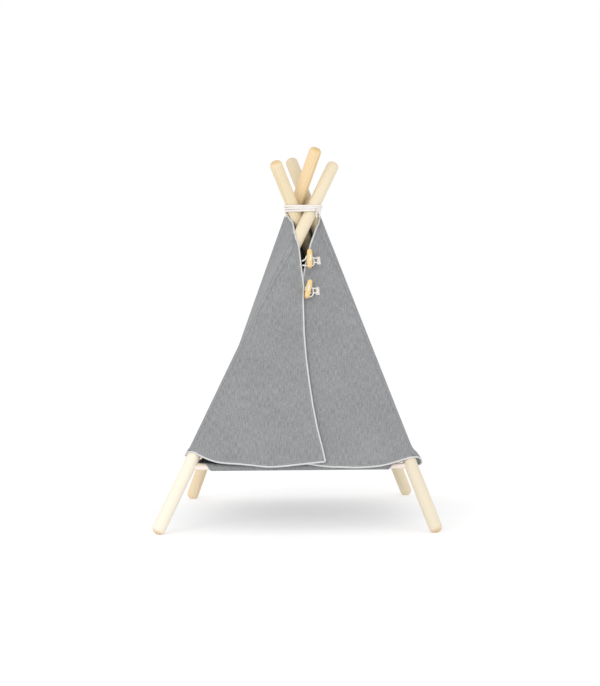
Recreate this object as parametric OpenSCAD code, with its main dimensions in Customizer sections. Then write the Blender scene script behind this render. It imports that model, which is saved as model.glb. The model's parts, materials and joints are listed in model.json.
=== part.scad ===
// Small pet teepee: four wooden poles crossed and lashed near the top, a canvas cover with two
// front flaps closed by toggles, and a cloth bed slung between two crossbars.
// Origin: on the floor, under the middle of the frame. +X is to the right, +Y to the rear, +Z up.

/* [Poles] */
// Diameter of each pole
pole_d = 25; // [24:0.5:25.5]
// Length of each pole
pole_l = 831; // [800:1:860]
// Round-over radius on the pole ends
pole_round = 9; // [5:0.5:11]
// Half of the distance between the front feet
front_half_w = 256; // [250:1:262]
// Half of the depth of the footprint, from the middle to the front feet
half_depth = 255.5; // [250:0.5:260]
// Where the rear right foot stands, from the middle of the footprint
rear_right_foot = [240, 255.5]; // [220:1:260]
// Where the rear left foot stands, from the middle of the footprint
rear_left_foot = [-229, 221]; // [-260:1:260]

/* [Lashing] */
// Height at which the poles are lashed
lash_z = 614.4; // [600:0.1:630]
// Diameter of the lashing cord
lash_cord_d = 4; // [3:0.5:5]

/* [Crossbars] */
// Diameter of the front and rear crossbars
bar_d = 11; // [9:0.5:13]
// Height of the crossbars' centre line
bar_z = 119.5; // [110:0.5:130]
// Clearance around a crossbar's end in its socket, on the radius
socket_gap = 0.1; // [0.05:0.05:0.3]

/* [Cover] */
// Thickness of the canvas
canvas_t = 1.2; // [0.8:0.1:1.6]
// Height of the cover's top edge, just under the lashing
cover_top = 603; // [598:1:604]
// How far the hem dips between two poles
hem_drop = 20; // [0:1:30]
// Diameter of the piping on the flap edges and hems
piping_d = 3.4; // [2.6:0.2:4]

/* [Toggles] */
// Length of each toggle
toggle_l = 40; // [36:1:44]
// Diameter of each toggle at its middle
toggle_d = 11.4; // [10:0.2:12]
// Distance between the two cord holes of a toggle
toggle_pitch = 10; // [8:0.5:12]
// Diameter of the toggle cords and loops
cord_d = 2.6; // [2:0.2:3]

/* [Bed] */
// How far the bed sags in its middle
bed_sag = 14; // [0:1:18]
// Thickness of the bed cloth
bed_t = 1.6; // [1:0.1:2]

/* [Hidden] */

pole_r = pole_d / 2;
// Poles are numbered 0 front left, 1 front right, 2 rear right, 3 rear left.
FEET = [[-front_half_w, -half_depth], [front_half_w, -half_depth], rear_right_foot, rear_left_foot];
// Where each pole's axis passes the lashing height: neighbours cross one behind the other.
CROSSING = [[32.7, -30], [31.6, 1.5], [-2.3, -28], [-3, 0.8]];
// Height of the pole axes above the feet given in FEET
foot_z = 12.5;
// Cloth stands this far off the poles
cloth_gap = 0.8;
cloth_in = pole_r + cloth_gap;
cloth_out = cloth_in + canvas_t;
cloth_mid = (cloth_in + cloth_out) / 2;
piping_r = piping_d / 2;
// Piping that runs round the poles keeps its middle line this far from their axes.
piping_at = pole_r + piping_r + 0.5;
// Cloth stops this far short of the middle line of its piping, and further on the steep neck edges.
piping_room = piping_r + 0.2;
neck_room = 2 * piping_r;
// Height of the hem at each pole
HEM_Z = [149, 136, 140, 142];
// The flaps hinge on lines that run up the fronts of the front poles.
FRONT = 270;
// Room between a flap and its hinge line, so that it turns without touching its wrap
hinge_room = 1.6;
// How far the left flap lies in front of the right one
flap_lift = 4;
// Half of the hair between two sewn panels at their seam
seam = 0.3;

// Tops of the hinge lines, where the neck opening crosses them
left_neck_z = 554;
right_neck_z = 580;
// Tops of the seams beside them, where the wraps meet the side panels
left_seam_z = 562;
right_seam_z = 596;
// The flaps stop this far below the tops of their hinge lines.
flap_top_room = 10;
// The front edges of the flaps, as [height, distance to the right of the middle]
LEFT_EDGE = [[130, 53.5], [150, 49.2], [190, 39.2], [234, 30.7], [280, 24.2], [325, 18.9], [370, 15.5],
             [430, 14.2], [460, 15.5], [495, 11.3], [535, 7], [552, 2.3]];
RIGHT_EDGE = [[100, -16], [483, 15.4], [500, 18.5], [545, 30], [569, 38.8], [580, 43]];

// Columns of a wall panel: close together at the corners, where the cloth bends round a pole
COLUMNS = [0, 0.012, 0.025, 0.045, 0.07, 0.11, 0.18, 0.28, 0.39, 0.5,
           0.61, 0.72, 0.82, 0.89, 0.93, 0.955, 0.975, 0.988, 1];
// Columns of a wrap round a pole, or of a flap
EVEN = [0, 0.125, 0.25, 0.375, 0.5, 0.625, 0.75, 0.875, 1];
// Rows of a panel or flap: closer together at the top, where the poles cross
ROWS = [0, 0.15, 0.3, 0.45, 0.58, 0.7, 0.79, 0.85, 0.9, 0.93, 0.96, 0.98, 1];

wood = [0.95, 0.89, 0.76];
canvas = [0.62, 0.63, 0.64];
trim = [0.88, 0.88, 0.86];
cotton = [0.93, 0.91, 0.87];
horn = [0.91, 0.78, 0.5];

function lerp(a, b, t) = a + (b - a) * t;
function unit(v) = v / norm(v);

// ---- Poles: straight axes through FEET and CROSSING ----
function tilt(i) = (CROSSING[i] - FEET[i]) / (lash_z - foot_z);
function centre(i, z) = FEET[i] + tilt(i) * (z - foot_z);
function axis_point(i, z) = [centre(i, z).x, centre(i, z).y, z];
// The point of pole i's section at height z, swollen to radius r, whose outward direction is a
function touch(i, a, z, r) =
    let (n = [cos(a), sin(a)], k = n * tilt(i))
    centre(i, z) + r * (n + tilt(i) * k) / sqrt(1 + k * k);
// The same for a taut band round some of the poles
function band(a, z, r, poles = [0:3]) =
    let (n = [cos(a), sin(a)],
         p = [for (i = poles) touch(i, a, z, r)],
         reach = [for (q = p) n * q])
    p[search(max(reach), reach)[0]];

// ---- Walls: each is a stretch of the taut band over some poles ----
// Each wall is [band's first direction, band's last direction, poles, wall's first, wall's last].
LEFT = [135, FRONT, [0, 2, 3], 135, 225];
LEFT_WRAP = [135, FRONT, [0, 2, 3], 225, FRONT];
RIGHT = [-45, 135, [1, 2, 3], -45, 45];
REAR = [-45, 135, [1, 2, 3], 45, 135];
RIGHT_WRAP = [FRONT, 315, [1], FRONT, 315];
// Step between the band's directions
turn = 2.5;
// Above this height, where the poles close up, a wall keeps its share of the band's length.
apart_z = 500;

function walk(w, z, r) = [for (a = [w[0]:turn:w[1]]) band(a, z, r, w[2])];
function lengths(p) =
    [for (i = 0, s = 0; i < len(p); i = i + 1, s = s + (i < len(p) ? norm(p[i] - p[i - 1]) : 0)) s];
function share(w, a, z, r) =
    let (l = lengths(walk(w, min(z, apart_z), r)))
    l[(a - w[0]) / turn] / l[len(l) - 1];

// The point at share u of a wall's length, at height z, with room left free at its two ends
function wall(w, u, z, r, room = [0, 0]) =
    let (p = walk(w, z, r), l = lengths(p), last = len(p) - 1,
         d = lerp(share(w, w[3], z, r) * l[last] + room[0], share(w, w[4], z, r) * l[last] - room[1], u))
    [lookup(d, [for (i = [0:last]) [l[i], p[i].x]]), lookup(d, [for (i = [0:last]) [l[i], p[i].y]]), z];

// Height of the hem at share u of the way between poles i and j
function hem(i, j, u) = lerp(HEM_Z[i], HEM_Z[j], u) - hem_drop * (1 - pow(abs(2 * u - 1), 3));

// ---- Flaps: a straight line across the front at each height, from hinge line to hinge line ----
function hinge(i, z) = let (p = touch(i, FRONT, z, cloth_mid)) [p.x, p.y, z];
function across(x, z, lift = 0) =
    let (l = hinge(0, z), r = hinge(1, z), t = (x - l.x) / (r.x - l.x))
    lerp(l, r, t) - [0, lift, 0];
function left_lift(x, z) =
    let (l = hinge(0, z), r = hinge(1, z)) flap_lift * min(1, 4 * (x - l.x) / (r.x - l.x));
function front_hem(x) =
    let (l = hinge(0, HEM_Z[0]), r = hinge(1, HEM_Z[1])) hem(0, 1, (x - l.x) / (r.x - l.x));

// A closed shell between an outer and an inner grid of points, columns running anticlockwise
module shell(outer, inner) {
    rows = len(outer);
    cols = len(outer[0]);
    function o(i, j) = i * cols + j;
    function n(i, j) = (rows + i) * cols + j;
    function quad(a, b, c, d) = [[c, b, a], [d, c, a]];
    last_row = rows - 1;
    last_col = cols - 1;
    faces = concat(
        [for (i = [0:last_row - 1], j = [0:last_col - 1])
            each concat(quad(o(i, j), o(i, j + 1), o(i + 1, j + 1), o(i + 1, j)),
                        quad(n(i, j), n(i + 1, j), n(i + 1, j + 1), n(i, j + 1)))],
        [for (j = [0:last_col - 1])
            each concat(quad(o(0, j + 1), o(0, j), n(0, j), n(0, j + 1)),
                        quad(o(last_row, j), o(last_row, j + 1), n(last_row, j + 1), n(last_row, j)))],
        [for (i = [0:last_row - 1])
            each concat(quad(o(i, 0), o(i + 1, 0), n(i + 1, 0), n(i, 0)),
                        quad(o(i + 1, last_col), o(i, last_col), n(i, last_col), n(i + 1, last_col)))]);
    polyhedron([for (g = [outer, inner], row = g, p = row) p], faces, convexity = 4);
}

// A round cord of radius r along points; side is any direction that the path never runs along
module cord(path, r, side, closed = false, sides = 8) {
    n = len(path);
    rings = [for (i = [0:n - 1])
        let (t = closed ? unit(path[(i + 1) % n] - path[(i + n - 1) % n])
                        : unit(path[min(i + 1, n - 1)] - path[max(i - 1, 0)]),
             a = unit(cross(t, side)), b = cross(a, t))
        for (s = [0:sides - 1]) path[i] + r * (a * cos(360 * s / sides) + b * sin(360 * s / sides))];
    function at(i, s) = (i % n) * sides + s % sides;
    skin = [for (i = [0:(closed ? n - 1 : n - 2)], s = [0:sides - 1])
        each [[at(i, s), at(i, s + 1), at(i + 1, s + 1)], [at(i, s), at(i + 1, s + 1), at(i + 1, s)]]];
    caps = closed ? [] : [[for (s = [sides - 1:-1:0]) s], [for (s = [0:sides - 1]) at(n - 1, s)]];
    polyhedron(rings, concat(skin, caps), convexity = 4);
}

// Places a child so that its +Z runs from a towards b
module along(a, b) {
    d = b - a;
    translate(a) rotate([0, acos(d.z / norm(d)), atan2(d.y, d.x)]) children();
}

// ---- Poles and crossbars ----
module rounded_rod(d, l, round_r) {
    rotate_extrude($fn = 64) intersection() {
        square([d, l]);
        union() {
            translate([0, round_r]) square([d / 2, l - 2 * round_r]);
            square([d / 2 - round_r, l]);
            for (z = [round_r, l - round_r]) translate([d / 2 - round_r, z]) circle(round_r, $fn = 64);
        }
    }
}

module pole(i) {
    a = axis_point(i, 0);
    b = axis_point(i, lash_z);
    // The round end's lowest point is just under the floor, which leaves a small flat foot.
    lean = acos((b - a).z / norm(b - a));
    sunk = 1.2;
    foot_gap = pole_round - (pole_round * cos(lean) - (pole_r - pole_round) * sin(lean)) - sunk;
    start = a + unit(b - a) * foot_gap / cos(lean);
    mate = [1, 0, 3, 2][i];
    color(wood) difference() {
        along(start, b) rounded_rod(pole_d, pole_l, pole_round);
        translate([0, 0, -25]) cube([2 * pole_l, 2 * pole_l, 50], center = true);
        along(axis_point(i, bar_z) + unit(axis_point(i, bar_z) - axis_point(mate, bar_z)) * 0.5,
              axis_point(mate, bar_z)) cylinder(r = bar_d / 2 + socket_gap, h = 2 * pole_d, $fn = 48);
    }
}

module crossbar(i, j) {
    a = axis_point(i, bar_z);
    b = axis_point(j, bar_z);
    color(wood) along(a, b) rounded_rod(bar_d, norm(b - a), 1);
}

// ---- Bed ----
sleeve_t = 1.4;
sleeve_in = bar_d / 2 + 0.3;
sleeve_out = sleeve_in + sleeve_t;
// Room between a pole's axis and the sleeve that starts beside it
sleeve_inset = [37, 42];
// The same for the wider bed cloth between the sleeves
bed_inset = [20, 20];
function bar_point(front, t, inset = sleeve_inset) =
    let (a = axis_point(front ? 0 : 3, bar_z), b = axis_point(front ? 1 : 2, bar_z), d = unit(b - a))
    lerp(a + d * inset[0], b - d * inset[1], t);

module bed_sleeve(front) {
    a = bar_point(front, 0);
    b = bar_point(front, 1);
    color(canvas) along(a, b) difference() {
        cylinder(r = sleeve_out, h = norm(b - a), $fn = 48);
        translate([0, 0, -1]) cylinder(r = sleeve_in, h = norm(b - a) + 2, $fn = 48);
    }
}

// The bed cloth leaves the sleeves at their inner top edges and sags between them.
function bed_point(s, t, z) =
    let (y_in = sleeve_out + 0.6,
         p = lerp(bar_point(true, s, bed_inset) + [0, y_in, 0],
                  bar_point(false, s, bed_inset) - [0, y_in, 0], t))
    [p.x, p.y, bar_z + 5 - bed_sag * sin(180 * t) + z];

module bed() {
    cuts = [0, 0.25, 0.5, 0.75, 1];
    color(canvas) shell([for (t = EVEN) [for (s = cuts) bed_point(s, t, 0)]],
                        [for (t = EVEN) [for (s = cuts) bed_point(s, t, -bed_t)]]);
}

// ---- Cover: side, rear and corner cloth that stays on the frame ----
module panel(w, columns, bottom, top, room = [seam, seam]) {
    color(canvas) shell(
        [for (v = ROWS) [for (u = columns) wall(w, u, lerp(bottom(u), top(u), v), cloth_out, room)]],
        [for (v = ROWS) [for (u = columns) wall(w, u, lerp(bottom(u), top(u), v), cloth_in, room)]]);
}

// The neck opening cuts the side panels' front top corners away.
left_cut = 0.45;
right_cut = 0.3;
function left_top(u) = cover_top - (cover_top - left_seam_z) * max(0, (u - left_cut) / (1 - left_cut));
function right_top(u) = cover_top - (cover_top - right_seam_z) * max(0, (right_cut - u) / right_cut);
function left_wrap_top(u) = lerp(left_seam_z, left_neck_z, u);
function right_wrap_top(u) = lerp(right_neck_z, right_seam_z, u);

module left_side_panel() {
    panel(LEFT, COLUMNS,
          function(u) hem(3, 0, u) + piping_room, function(u) left_top(u) - neck_room);
}

module right_side_panel() {
    panel(RIGHT, COLUMNS,
          function(u) hem(1, 2, u) + piping_room, function(u) right_top(u) - neck_room);
}

module rear_panel() {
    panel(REAR, COLUMNS,
          function(u) hem(2, 3, u) + piping_room, function(u) cover_top - neck_room);
}

// The stretch of each flap that stays wrapped round its pole, and stops short of the hinge line
LEFT_WRAP_ROOM = [seam, 0.5];
RIGHT_WRAP_ROOM = [0.5, seam];
module left_flap_wrap() {
    panel(LEFT_WRAP, EVEN, function(u) HEM_Z[0] + piping_room,
          function(u) left_wrap_top(u) - neck_room, LEFT_WRAP_ROOM);
}

module right_flap_wrap() {
    panel(RIGHT_WRAP, EVEN, function(u) HEM_Z[1] + piping_room,
          function(u) right_wrap_top(u) - neck_room, RIGHT_WRAP_ROOM);
}

// ---- Piping on the frame: the hem round the sides and rear, and the neck opening ----
// Points along the top or bottom edge of a wall, at the columns from first to last
function edge(w, columns, first, last, height, room) =
    [for (u = columns) if (u >= first && u <= last) wall(w, u, height(u), piping_at, room)];

module left_hem_piping() {
    color(trim) cord(concat(edge(LEFT, COLUMNS, 0, 0.99, function(u) hem(3, 0, u), [2 * seam, 0]),
                            edge(LEFT_WRAP, EVEN, 0, 1, function(u) HEM_Z[0], LEFT_WRAP_ROOM)),
                     piping_r, [0, 0, 1]);
}

module right_hem_piping() {
    color(trim) cord(concat(edge(RIGHT_WRAP, EVEN, 0, 1, function(u) HEM_Z[1], RIGHT_WRAP_ROOM),
                            edge(RIGHT, COLUMNS, 0.01, 1, function(u) hem(1, 2, u), [0, 2 * seam])),
                     piping_r, [0, 0, 1]);
}

module rear_hem_piping() {
    color(trim) cord(edge(REAR, COLUMNS, 0, 1, function(u) hem(2, 3, u), [2 * seam, 2 * seam]),
                     piping_r, [0, 0, 1]);
}

module left_neck_piping() {
    color(trim) cord(concat(edge(LEFT, COLUMNS, left_cut, 0.95, function(u) left_top(u), [seam, seam]),
                            edge(LEFT_WRAP, EVEN, 0, 1, function(u) left_wrap_top(u), LEFT_WRAP_ROOM)),
                     piping_r, [-1, 0, 0]);
}

module right_neck_piping() {
    color(trim) cord(concat(edge(RIGHT_WRAP, EVEN, 0, 1, function(u) right_wrap_top(u), RIGHT_WRAP_ROOM),
                            edge(RIGHT, COLUMNS, 0.05, right_cut, function(u) right_top(u), [seam, seam])),
                     piping_r, [1, 0, 0]);
}

// ---- Front flaps: u runs from left to right and v up; room keeps clear of the edge's middle line ----
function left_flap_point(u, v, back, room) =
    let (corner = LEFT_EDGE[0],
         low_x = lerp(hinge(0, HEM_Z[0]).x + hinge_room, corner[1] - room, u),
         z = lerp(front_hem(low_x) + room, left_neck_z - flap_top_room, v),
         x = lerp(hinge(0, z).x + hinge_room, lookup(z, LEFT_EDGE) - room, u))
    across(x, z, left_lift(x, z) + back * canvas_t / 2);

module left_flap() {
    color(canvas) shell([for (v = ROWS) [for (u = EVEN) left_flap_point(u, v, 1, piping_room)]],
                        [for (v = ROWS) [for (u = EVEN) left_flap_point(u, v, -1, piping_room)]]);
}

// The piping runs up the hem from the hinge line to the corner, and then up the front edge.
module left_flap_piping() {
    color(trim) cord(concat([for (u = EVEN) if (u > 0) left_flap_point(u, 0, 0, 0)],
                            [for (v = ROWS) if (v > 0) left_flap_point(1, v, 0, 0)]),
                     piping_r, [0, -1, 0]);
}

function right_flap_point(u, v, back, room) =
    let (corner = RIGHT_EDGE[0],
         low_x = lerp(corner[1] + room, hinge(1, HEM_Z[1]).x - hinge_room, u),
         z = lerp(front_hem(low_x) + room, right_neck_z - flap_top_room, v),
         x = lerp(lookup(z, RIGHT_EDGE) + room, hinge(1, z).x - hinge_room, u))
    across(x, z, back * canvas_t / 2);

module right_flap() {
    color(canvas) shell([for (v = ROWS) [for (u = EVEN) right_flap_point(u, v, 1, piping_room)]],
                        [for (v = ROWS) [for (u = EVEN) right_flap_point(u, v, -1, piping_room)]]);
}

module right_flap_piping() {
    color(trim) cord(concat([for (i = [len(ROWS) - 1:-1:1]) right_flap_point(0, ROWS[i], 0, 0)],
                            [for (u = EVEN) if (u < 1) right_flap_point(u, 0, 0, 0)]),
                     piping_r, [0, -1, 0]);
}

// ---- Lashing ----
lash_r = pole_r + lash_cord_d / 2 + 0.2;
// Heights of the cord's turns: one below, two together above
TURN_Z = [608.6, 614.6, 619];

module lashing_turns() {
    color(cotton) for (z = TURN_Z)
        cord([for (a = [0:9:351]) let (p = band(a, z, lash_r)) [p.x, p.y, z]],
             lash_cord_d / 2, [0, 0, 1], closed = true);
}

// The cord's ends are tied in a small knot at the front right.
module lashing_knot() {
    out = 312;
    z = lash_z - 1.5;
    p = band(out, z, lash_r + lash_cord_d + 1);
    // A closed overhand knot, flat against the turns, 3 units from its middle to its outside
    unit_l = 1.35;
    function trefoil(t) = unit_l * [sin(t) + 2 * sin(2 * t), cos(t) - 2 * cos(2 * t), -sin(3 * t)];
    color(cotton) translate([p.x, p.y, z]) rotate([90, 0, out - FRONT])
        cord([for (t = [0:10:350]) trefoil(t)], unit_l * 0.95, [0, 0, 1], closed = true, sides = 6);
}

// ---- Toggles, their cords and loops ----
// Each toggle's middle on the front face as [x, z], its lean from upright, and its tab's middle.
TOGGLES = [[24.2, 510.9, 5.5], [22.9, 450.4, 14.3]];
TABS = [[46.5, 512], [43, 451.5]];
// Distances in front of the right flap's middle surface
toggle_off = 14;
loop_off = 5.5;
cord_low = 2.2;
tab_off = 2.4;

// A point in front of the right flap: off is measured square to it
function face_normal(k) =
    let (x = TOGGLES[k][0], z = TOGGLES[k][1], e = 5,
         a = across(x + e, z) - across(x - e, z), b = across(x, z + e) - across(x, z - e))
    unit(cross(a, b));
function face_side(k) =
    unit(across(TOGGLES[k][0] + 5, TOGGLES[k][1]) - across(TOGGLES[k][0] - 5, TOGGLES[k][1]));
function face_up(k) = cross(face_normal(k), face_side(k));
// The same point from the toggle's middle, as [right, up, out]
function local(k, p) =
    across(TOGGLES[k][0], TOGGLES[k][1]) + face_side(k) * p[0] + face_up(k) * p[1] + face_normal(k) * p[2];

module on_face(k) {
    s = face_side(k);
    u = face_up(k);
    n = face_normal(k);
    o = across(TOGGLES[k][0], TOGGLES[k][1]);
    multmatrix([[s.x, u.x, n.x, o.x], [s.y, u.y, n.y, o.y], [s.z, u.z, n.z, o.z]]) children();
}

// Half thickness of a toggle at y along it: fullest at its middle, with blunt, rounded ends
function toggle_r(y) =
    let (half = toggle_l / 2, from_end = half - abs(y), round_r = 3, belly = 1.5)
    toggle_d / 2 - belly * (y / half) ^ 2
        - (from_end < round_r ? round_r - sqrt(round_r ^ 2 - (round_r - from_end) ^ 2) : 0);

// A toggle with two cord holes across it
module toggle(k) {
    half = toggle_l / 2;
    profile = [for (a = [-90:3:90]) let (y = half * sin(a)) [toggle_r(y), y + half]];
    color(horn) on_face(k) translate([0, 0, toggle_off]) rotate([0, 0, -TOGGLES[k][2]]) difference() {
        rotate([-90, 0, 0]) translate([0, 0, -half]) rotate_extrude($fn = 64)
            polygon(concat([[0, 0]], profile, [[0, toggle_l]]));
        for (s = [-1, 1]) translate([0, s * toggle_pitch / 2, -toggle_d])
            cylinder(d = cord_d + 0.5, h = 2 * toggle_d, $fn = 32);
    }
}

// Direction along toggle k in face coordinates
function lean(k) = [sin(TOGGLES[k][2]), cos(TOGGLES[k][2])];

// The cord's bight through the two holes, which turns with the toggle
module toggle_bight(k) {
    h = toggle_pitch / 2;
    back = toggle_off - toggle_d / 2 + 0.4;
    front = toggle_off + toggle_d / 2 + cord_d / 2 + 0.2;
    color(cotton) cord([for (p = [[h, back], [h, front - 1.6], [h - 0.5, front - 0.4], [h - 1.7, front],
                                  [0, front + 0.1], [1.7 - h, front], [0.5 - h, front - 0.4],
                                  [-h, front - 1.6], [-h, back]])
                            local(k, [lean(k).x * p[0], lean(k).y * p[0], p[1]])],
                       cord_d / 2, face_side(k));
}

// Two strands from the tab to the toggle's back
module toggle_cord(k) {
    tab = TABS[k] - [TOGGLES[k][0], TOGGLES[k][1]];
    end = toggle_off - toggle_d / 2 - 0.5;
    color(cotton) for (s = [-1, 1]) {
        hole = lean(k) * s * toggle_pitch / 2;
        cord([for (p = [[tab.x - 3.9, tab.y + s * 4.6, cord_low], [tab.x - 8.5, tab.y + s * 4.8, cord_low],
                        [hole.x + 5.4, lerp(hole.y, tab.y + s * 4.8, 0.3), cord_low + 1],
                        [hole.x + 2.2, hole.y, (cord_low + end) / 2 + 0.6],
                        [hole.x + 0.5, hole.y, end - 1.2], [hole.x, hole.y, end]]) local(k, p)],
             cord_d / 2, face_up(k));
    }
}

// A folded cloth tab sewn flat to the right flap, which holds the toggle's cord
module toggle_tab(k) {
    tab = TABS[k] - [TOGGLES[k][0], TOGGLES[k][1]];
    color(cotton) on_face(k) translate([tab.x, tab.y, tab_off])
        cube([7.4, 16.5, 2.2], center = true);
}

// The loop on the left flap's edge, hooked behind the toggle and round its cord
module loop(k) {
    x = lookup(TOGGLES[k][1], LEFT_EDGE) + piping_r - TOGGLES[k][0];
    path = k == 0
        ? [[x + 1.6, -1], [x + 5, 1.4], [-4.6, 4], [-2, 6.6], [1.5, 8.6], [5.5, 8.2], [9, 5.4],
           [10.9, 0.5], [10.9, -4.5], [9.4, -9.4], [6, -12], [0, -12.4], [x + 5, -11.4], [x + 1.6, -10.6]]
        : [[x + 1.6, 2.4], [x + 4.6, 5], [0, 7.6], [6.2, 7.8], [9.4, 5], [10.4, -1.5],
           [9.4, -8.4], [6.2, -12], [-1, -12.6], [x + 4, -11.8], [x + 1.6, -10]];
    last = len(path) - 1;
    color(cotton) cord([for (i = [0:last])
                            local(k, [path[i][0], path[i][1], loop_off - (i == 0 || i == last ? 0.9 : 0)])],
                       cord_d / 2, face_normal(k));
}

pole(0);  // front_left_pole
pole(1);  // front_right_pole
pole(2);  // rear_right_pole
pole(3);  // rear_left_pole
crossbar(0, 1);  // front_crossbar
crossbar(3, 2);  // rear_crossbar
bed();
bed_sleeve(true);  // front_bed_sleeve
bed_sleeve(false);  // rear_bed_sleeve
left_side_panel();
right_side_panel();
rear_panel();
left_flap_wrap();
right_flap_wrap();
left_hem_piping();
right_hem_piping();
rear_hem_piping();
left_neck_piping();
right_neck_piping();
left_flap();
left_flap_piping();
right_flap();
right_flap_piping();
lashing_turns();
lashing_knot();
toggle(0);  // upper_toggle
toggle_bight(0);  // upper_toggle_bight
toggle_cord(0);  // upper_toggle_cord
toggle_tab(0);  // upper_toggle_tab
loop(0);  // upper_loop
toggle(1);  // lower_toggle
toggle_bight(1);  // lower_toggle_bight
toggle_cord(1);  // lower_toggle_cord
toggle_tab(1);  // lower_toggle_tab
loop(1);  // lower_loop
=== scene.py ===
import json
import math

import bpy
import numpy as np
from mathutils import Matrix, Vector, noise


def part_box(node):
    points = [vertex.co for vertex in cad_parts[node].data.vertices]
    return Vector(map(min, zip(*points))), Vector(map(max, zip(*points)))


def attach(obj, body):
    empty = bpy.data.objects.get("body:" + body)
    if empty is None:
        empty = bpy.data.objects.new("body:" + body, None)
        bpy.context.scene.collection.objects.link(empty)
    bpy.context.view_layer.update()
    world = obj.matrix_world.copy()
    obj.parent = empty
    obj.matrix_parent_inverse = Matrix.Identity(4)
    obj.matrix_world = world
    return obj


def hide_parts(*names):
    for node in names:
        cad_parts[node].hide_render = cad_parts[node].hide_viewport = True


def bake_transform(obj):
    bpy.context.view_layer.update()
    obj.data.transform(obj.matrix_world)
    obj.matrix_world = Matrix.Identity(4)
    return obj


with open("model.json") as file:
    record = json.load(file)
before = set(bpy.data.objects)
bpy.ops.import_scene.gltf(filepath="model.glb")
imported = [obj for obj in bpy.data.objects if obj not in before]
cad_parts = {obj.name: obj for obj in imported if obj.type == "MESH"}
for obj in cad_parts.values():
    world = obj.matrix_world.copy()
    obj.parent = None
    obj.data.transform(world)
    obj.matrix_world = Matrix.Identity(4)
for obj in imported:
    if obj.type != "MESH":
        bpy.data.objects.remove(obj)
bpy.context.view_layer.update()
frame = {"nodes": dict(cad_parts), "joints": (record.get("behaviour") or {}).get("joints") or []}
NODES = frame["nodes"]
MM = 0.001

# ---- Driving dimensions, in metres and degrees ----
# They are within 3 mm of the CAD part's, but for the hems. Those follow the photo more closely than the CAD's
# plain curve: the front ones lie up to 8 mm from it, and the right side's up to 11 mm below and outside it.
POLE_R = 12.5 * MM
CLOTH_T = 1.2 * MM
CLOTH_AT = POLE_R + 0.8 * MM + CLOTH_T / 2      # middle of the cloth, from a pole's axis
PIPING_R = 1.7 * MM
HEM_Z = [149 * MM, 136 * MM, 140 * MM, 142 * MM]
HEM_DROP = 20 * MM
COVER_TOP = 604 * MM
LEFT_SEAM_Z, LEFT_NECK_Z = 565 * MM, 553.5 * MM
RIGHT_SEAM_Z, RIGHT_NECK_Z = 599 * MM, 583 * MM
LEFT_CUT, RIGHT_CUT = 0.45, 0.3                 # shares of the side walls where the neck's cut begins
APART_Z = 500 * MM                              # above this the poles close up
FLAP_LIFT = 4 * MM
FRONT = 270
# Front edges of the flaps: heights, and distances to the right of the middle
LEFT_EDGE = np.array([(130, 53.5), (150, 49.2), (190, 39.2), (234, 30.7), (280, 24.2), (325, 18.9),
                      (370, 15.5), (430, 14.2), (460, 15.5), (495, 11.3), (535, 7), (549, 4.1),
                      (553.5, 2.9)]) * MM
RIGHT_EDGE = np.array([(100, -16), (483, 15.4), (500, 18.5), (545, 30), (569, 38.8), (583, 43.3)]) * MM
# Hems of the flaps: shares of the way from the left hinge line to the right one, and heights
LEFT_HEM = [(0, 149), (0.03, 143.4), (0.074, 137), (0.12, 131.7), (0.168, 128.8), (0.222, 127.2),
            (0.277, 125), (0.372, 121.8), (0.425, 123), (0.487, 125.4), (0.536, 127.2), (0.6, 129.5)]
RIGHT_HEM = [(0.44, 129), (0.5, 127.5), (0.536, 126), (0.576, 123.1), (0.615, 120.8), (0.677, 119.4),
             (0.756, 118.7), (0.815, 120), (0.869, 122.6), (0.949, 130.1), (1, 135.6)]
# Right side's hem: shares from the front pole to the rear one, with its height and how far it stands out
RIGHT_SIDE_HEM = [(0, 136), (0.02, 134.7), (0.04, 131.7), (0.06, 127.9), (0.08, 123.7), (0.1, 119.9),
                  (0.13, 115.6), (0.16, 112.6), (0.2, 110.3), (0.25, 109.4), (0.35, 109.4), (0.5, 110.5),
                  (0.65, 114), (0.8, 122), (0.92, 132.5), (1, 140)]
RIGHT_SIDE_BULGE = [(0, 0), (0.02, 1.9), (0.04, 5.3), (0.06, 8), (0.08, 9.9), (0.1, 10.6), (0.13, 10.8),
                    (0.16, 9.6), (0.2, 7.2), (0.25, 5.6), (0.35, 4), (0.5, 3.6), (0.7, 3), (0.85, 1), (1, 0)]
THREAD_R = 0.3 * MM


def smooth(low, high, x):
    """0 below low, 1 above high, and an S curve between them."""
    t = min(max((x - low) / (high - low), 0), 1)
    return t * t * (3 - 2 * t)


def lerp(a, b, t):
    return a + (b - a) * t


# ---- The poles' axes, read from the CAD meshes ----
def pole_axis(name):
    """A point on a pole's middle line and its direction, fitted to the long facets of its mesh."""
    mesh = NODES[name].data
    largest = max(p.area for p in mesh.polygons)
    facets = [p for p in mesh.polygons if p.area > 0.5 * largest]
    normals = np.array([p.normal for p in facets])
    direction = np.linalg.eigh(normals.T @ normals)[1][:, 0]
    direction *= np.sign(direction[2])
    side = np.linalg.svd(direction[None])[2][1:]
    flat = np.array([mesh.vertices[i].co for p in facets for i in p.vertices]) @ side.T
    circle = np.linalg.lstsq(np.c_[2 * flat, np.ones(len(flat))], (flat ** 2).sum(1), rcond=None)[0]
    return circle[:2] @ side, direction


POLE_NAMES = ["front_left_pole", "front_right_pole", "rear_right_pole", "rear_left_pole"]
AXES = [pole_axis(name) for name in POLE_NAMES]


def centre(i, z):
    point, direction = AXES[i]
    return point[:2] + direction[:2] / direction[2] * (z - point[2])


def touch(i, angle, z, r):
    """The point of pole i's section at height z, swollen to radius r, whose outward direction is angle."""
    n = np.array([math.cos(math.radians(angle)), math.sin(math.radians(angle))])
    tilt = AXES[i][1][:2] / AXES[i][1][2]
    k = n @ tilt
    return centre(i, z) + r * (n + tilt * k) / math.sqrt(1 + k * k)


# ---- Walls: stretches of the taut band over some poles ----
TURN = 2.5
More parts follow.
